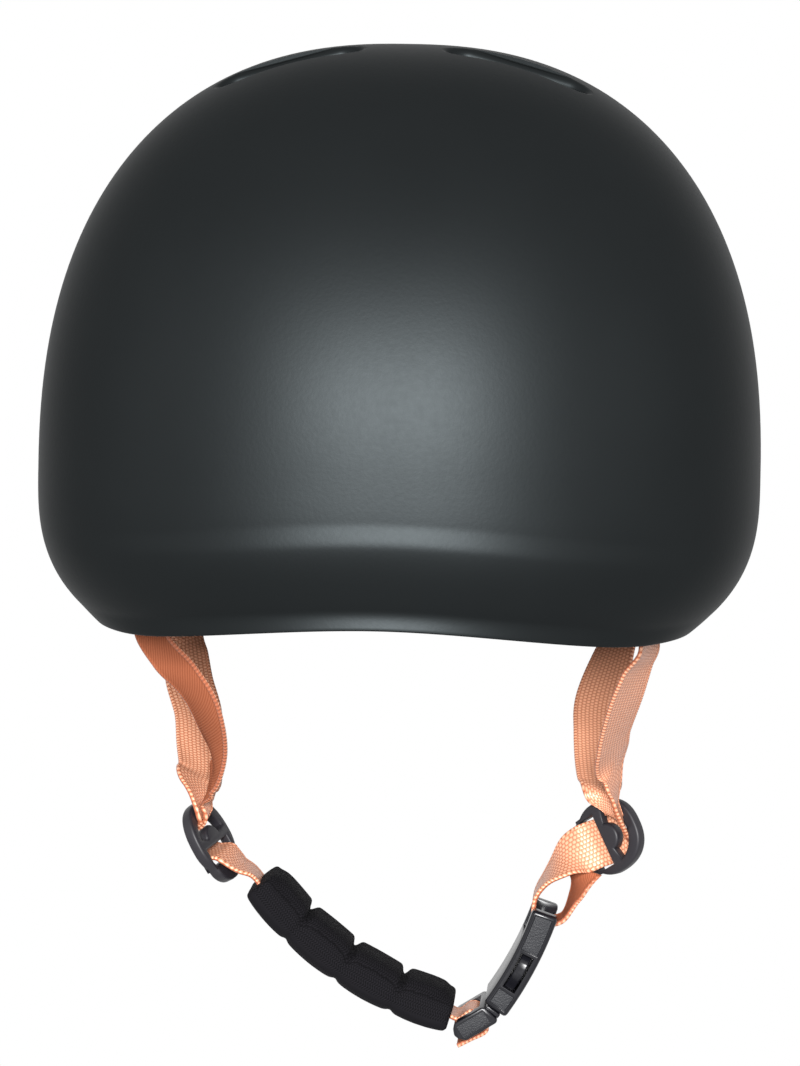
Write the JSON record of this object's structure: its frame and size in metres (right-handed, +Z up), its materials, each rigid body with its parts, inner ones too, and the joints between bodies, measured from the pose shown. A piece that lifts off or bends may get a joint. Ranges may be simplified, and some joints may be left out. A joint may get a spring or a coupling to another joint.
{
  "type": "bicycle helmet",
  "caption": "Smooth hard-shell town helmet with foam liner, pads, dial fit band, copper webbing straps, strap dividers, padded chin strap and curved side-release buckle.",
  "frame": {"origin": "middle of the head opening, level with the lowest point of the rim at the sides, where the wearer's head goes in", "axes": "+Z up towards the crown, -Y towards the brow, +X towards the wearer's left, where the buckle is"},
  "size_m": [0.216, 0.2663, 0.3038],
  "materials": {
    "shell": "matt moulded shell, charcoal black",
    "foam": "bead foam, dark grey",
    "edge": "soft black edge strip",
    "pad": "black knit over foam",
    "hook": "hook tape",
    "anchor": "moulded black",
    "webbing": "satin copper webbing with a ribbed face",
    "divider": "moulded black, slightly satin",
    "chin_pad": "black ribbed knit",
    "buckle": "moulded black with grained faces",
    "band": "flexible black band",
    "pin": "moulded dark grey",
    "gear": "moulded grey, slick",
    "knob": "grippy black",
    "steel": "zinc-plated steel"
  },
  "bodies": {
    "root": {"outer_shell": "shell", "foam_liner": "foam", "edge_strip": "edge", "brow_pad": "pad", "crown_pad": "pad", "side_pad_left": "pad", "side_pad_right": "pad", "nape_pad": "pad", "hook_dots": "hook", "front_anchor_left": "anchor", "front_anchor_right": "anchor", "rear_anchor_left": "anchor", "rear_anchor_right": "anchor", "front_strap_left": "webbing", "front_strap_right": "webbing", "rear_strap_left": "webbing", "rear_strap_right": "webbing", "divider_left": "divider", "chin_strap_left": "webbing", "buckle_socket": "buckle", "front_band": "band", "band_pins": "pin", "arm_left": "band", "arm_right": "band", "dial_housing": "band", "housing_cover": "band", "housing_screws": "steel", "cradle_spine": "band", "detent_ring": "gear"},
    "chin": {"divider_right": "divider", "chin_strap_right": "webbing", "chin_pad": "chin_pad", "buckle_tongue": "buckle"},
    "prong_front": {"prong_front": "buckle"},
    "prong_rear": {"prong_rear": "buckle"},
    "dial": {"dial_knob": "knob", "dial_pinion": "gear", "dial_screw": "steel"},
    "rack_left": {"rack_left": "gear"},
    "rack_right": {"rack_right": "gear"}
  },
  "joints": [
    {"name": "chin_swing", "type": "hinge", "parent": "root", "child": "chin", "pos_m": [-0.061, -0.005, -0.05], "axis": [0, 1, 0], "range_deg": [0, 50], "deforming": ["front_strap_right", "rear_strap_right", "prong_front", "prong_rear"]},
    {"name": "prong_front_squeeze", "type": "hinge", "parent": "chin", "child": "prong_front", "pos_m": [0.03191, -0.0123, -0.11432], "axis": [-0.8222, 0, 0.5692], "range_deg": [0, 10.2], "stiffness_Nm_per_rad": 0.05},
    {"name": "prong_rear_squeeze", "type": "hinge", "parent": "chin", "child": "prong_rear", "pos_m": [0.03191, 0.0023, -0.11432], "axis": [0.8222, 0, -0.5692], "range_deg": [0, 10.2], "stiffness_Nm_per_rad": 0.05},
    {"name": "dial_turn", "type": "hinge", "parent": "root", "child": "dial", "pos_m": [0, 0.093, 0.003], "axis": [0, 1, 0], "range_deg": [-160.43, 0]},
    {"name": "rack_left_slide", "type": "slide", "parent": "root", "child": "rack_left", "axis": [1, 0, 0], "range_m": [-0.0141, 0.0001], "deforming": ["arm_left"]},
    {"name": "rack_right_slide", "type": "slide", "parent": "root", "child": "rack_right", "axis": [1, 0, 0], "range_m": [-0.0001, 0.0141], "deforming": ["arm_right"]}
  ],
  "couplings": [
    {"joint": "rack_left_slide", "follows": "dial_turn", "m_per_rad": 0.005},
    {"joint": "rack_right_slide", "follows": "dial_turn", "m_per_rad": -0.005}
  ]
}
